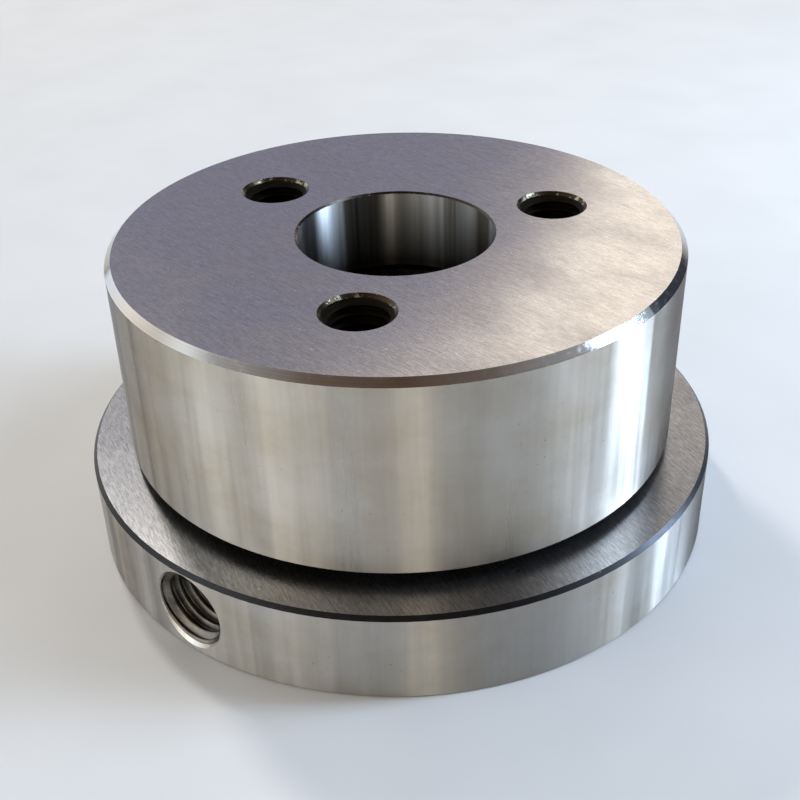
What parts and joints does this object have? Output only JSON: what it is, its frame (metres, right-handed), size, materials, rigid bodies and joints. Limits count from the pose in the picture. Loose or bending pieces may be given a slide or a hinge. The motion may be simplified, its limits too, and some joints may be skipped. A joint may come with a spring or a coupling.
{
  "type": "roller one-way clutch",
  "caption": "Bored steel barrel with tapped face holes over a lever flange with a radial tapped hole; sprung rollers inside let the barrel turn one way on the hub",
  "frame": {"origin": "centre of the flange's underside, on the shaft axis", "axes": "+Z along the shaft axis from the flange to the barrel's face, -Y along the lever hole, out of its mouth"},
  "size_m": [0.1, 0.1, 0.047],
  "materials": {
    "ground_steel": "ground",
    "satin_steel": "fine turned",
    "hub_steel": "hardened, oiled",
    "roller_steel": "lapped",
    "spring_steel": "drawn",
    "black_steel": "black oxide",
    "bronze": "turned bronze",
    "felt": "oiled felt"
  },
  "bodies": {
    "hub": {"lever_flange": "satin_steel", "cam_hub": "hub_steel", "flange_screws": "black_steel", "felt_seal": "felt", "thrust_washer": "bronze", "spring_1": "spring_steel", "spring_2": "spring_steel", "spring_3": "spring_steel", "spring_4": "spring_steel", "spring_5": "spring_steel", "spring_6": "spring_steel", "spring_7": "spring_steel", "spring_8": "spring_steel"},
    "barrel": {"barrel": "ground_steel", "guide_ring": "bronze", "snap_ring": "spring_steel"},
    "roller_1": {"roller_1": "roller_steel"},
    "plunger_1": {"plunger_1": "spring_steel"},
    "roller_2": {"roller_2": "roller_steel"},
    "plunger_2": {"plunger_2": "spring_steel"},
    "roller_3": {"roller_3": "roller_steel"},
    "plunger_3": {"plunger_3": "spring_steel"},
    "roller_4": {"roller_4": "roller_steel"},
    "plunger_4": {"plunger_4": "spring_steel"},
    "roller_5": {"roller_5": "roller_steel"},
    "plunger_5": {"plunger_5": "spring_steel"},
    "roller_6": {"roller_6": "roller_steel"},
    "plunger_6": {"plunger_6": "spring_steel"},
    "roller_7": {"roller_7": "roller_steel"},
    "plunger_7": {"plunger_7": "spring_steel"},
    "roller_8": {"roller_8": "roller_steel"},
    "plunger_8": {"plunger_8": "spring_steel"}
  },
  "joints": [
    {"name": "barrel_spin", "type": "hinge", "parent": "hub", "child": "barrel", "pos_m": [0, 0, 0.0318], "axis": [0, 0, 1], "continuous": true},
    {"name": "roller_1_spin", "type": "hinge", "parent": "hub", "child": "roller_1", "pos_m": [-0.00171, -0.0279, 0.0271], "axis": [0, 0, 1], "continuous": true},
    {"name": "plunger_1_slide", "type": "slide", "parent": "hub", "child": "plunger_1", "axis": [-0.9981, -0.061, 0], "range_m": [-0.0015, 0], "stiffness_N_per_m": 200, "springref_m": 0.002, "deforming": ["spring_1"]},
    {"name": "roller_2_spin", "type": "hinge", "parent": "hub", "child": "roller_2", "pos_m": [0.01852, -0.02093, 0.0271], "axis": [0, 0, 1], "continuous": true},
    {"name": "plunger_2_slide", "type": "slide", "parent": "hub", "child": "plunger_2", "axis": [-0.6626, -0.749, 0], "range_m": [-0.0015, 0], "stiffness_N_per_m": 200, "springref_m": 0.002, "deforming": ["spring_2"]},
    {"name": "roller_3_spin", "type": "hinge", "parent": "hub", "child": "roller_3", "pos_m": [0.0279, -0.00171, 0.0271], "axis": [0, 0, 1], "continuous": true},
    {"name": "plunger_3_slide", "type": "slide", "parent": "hub", "child": "plunger_3", "axis": [0.061, -0.9981, 0], "range_m": [-0.0015, 0], "stiffness_N_per_m": 200, "springref_m": 0.002, "deforming": ["spring_3"]},
    {"name": "roller_4_spin", "type": "hinge", "parent": "hub", "child": "roller_4", "pos_m": [0.02093, 0.01852, 0.0271], "axis": [0, 0, 1], "continuous": true},
    {"name": "plunger_4_slide", "type": "slide", "parent": "hub", "child": "plunger_4", "axis": [0.749, -0.6626, 0], "range_m": [-0.0015, 0], "stiffness_N_per_m": 200, "springref_m": 0.002, "deforming": ["spring_4"]},
    {"name": "roller_5_spin", "type": "hinge", "parent": "hub", "child": "roller_5", "pos_m": [0.00171, 0.0279, 0.0271], "axis": [0, 0, 1], "continuous": true},
    {"name": "plunger_5_slide", "type": "slide", "parent": "hub", "child": "plunger_5", "axis": [0.9981, 0.061, 0], "range_m": [-0.0015, 0], "stiffness_N_per_m": 200, "springref_m": 0.002, "deforming": ["spring_5"]},
    {"name": "roller_6_spin", "type": "hinge", "parent": "hub", "child": "roller_6", "pos_m": [-0.01852, 0.02093, 0.0271], "axis": [0, 0, 1], "continuous": true},
    {"name": "plunger_6_slide", "type": "slide", "parent": "hub", "child": "plunger_6", "axis": [0.6626, 0.749, 0], "range_m": [-0.0015, 0], "stiffness_N_per_m": 200, "springref_m": 0.002, "deforming": ["spring_6"]},
    {"name": "roller_7_spin", "type": "hinge", "parent": "hub", "child": "roller_7", "pos_m": [-0.0279, 0.00171, 0.0271], "axis": [0, 0, 1], "continuous": true},
    {"name": "plunger_7_slide", "type": "slide", "parent": "hub", "child": "plunger_7", "axis": [-0.061, 0.9981, 0], "range_m": [-0.0015, 0], "stiffness_N_per_m": 200, "springref_m": 0.002, "deforming": ["spring_7"]},
    {"name": "roller_8_spin", "type": "hinge", "parent": "hub", "child": "roller_8", "pos_m": [-0.02093, -0.01852, 0.0271], "axis": [0, 0, 1], "continuous": true},
    {"name": "plunger_8_slide", "type": "slide", "parent": "hub", "child": "plunger_8", "axis": [-0.749, 0.6626, 0], "range_m": [-0.0015, 0], "stiffness_N_per_m": 200, "springref_m": 0.002, "deforming": ["spring_8"]}
  ],
  "couplings": [
    {"joint": "roller_1_spin", "follows": "barrel_spin", "ratio": 6.6},
    {"joint": "roller_2_spin", "follows": "barrel_spin", "ratio": 6.6},
    {"joint": "roller_3_spin", "follows": "barrel_spin", "ratio": 6.6},
    {"joint": "roller_4_spin", "follows": "barrel_spin", "ratio": 6.6},
    {"joint": "roller_5_spin", "follows": "barrel_spin", "ratio": 6.6},
    {"joint": "roller_6_spin", "follows": "barrel_spin", "ratio": 6.6},
    {"joint": "roller_7_spin", "follows": "barrel_spin", "ratio": 6.6},
    {"joint": "roller_8_spin", "follows": "barrel_spin", "ratio": 6.6}
  ]
}
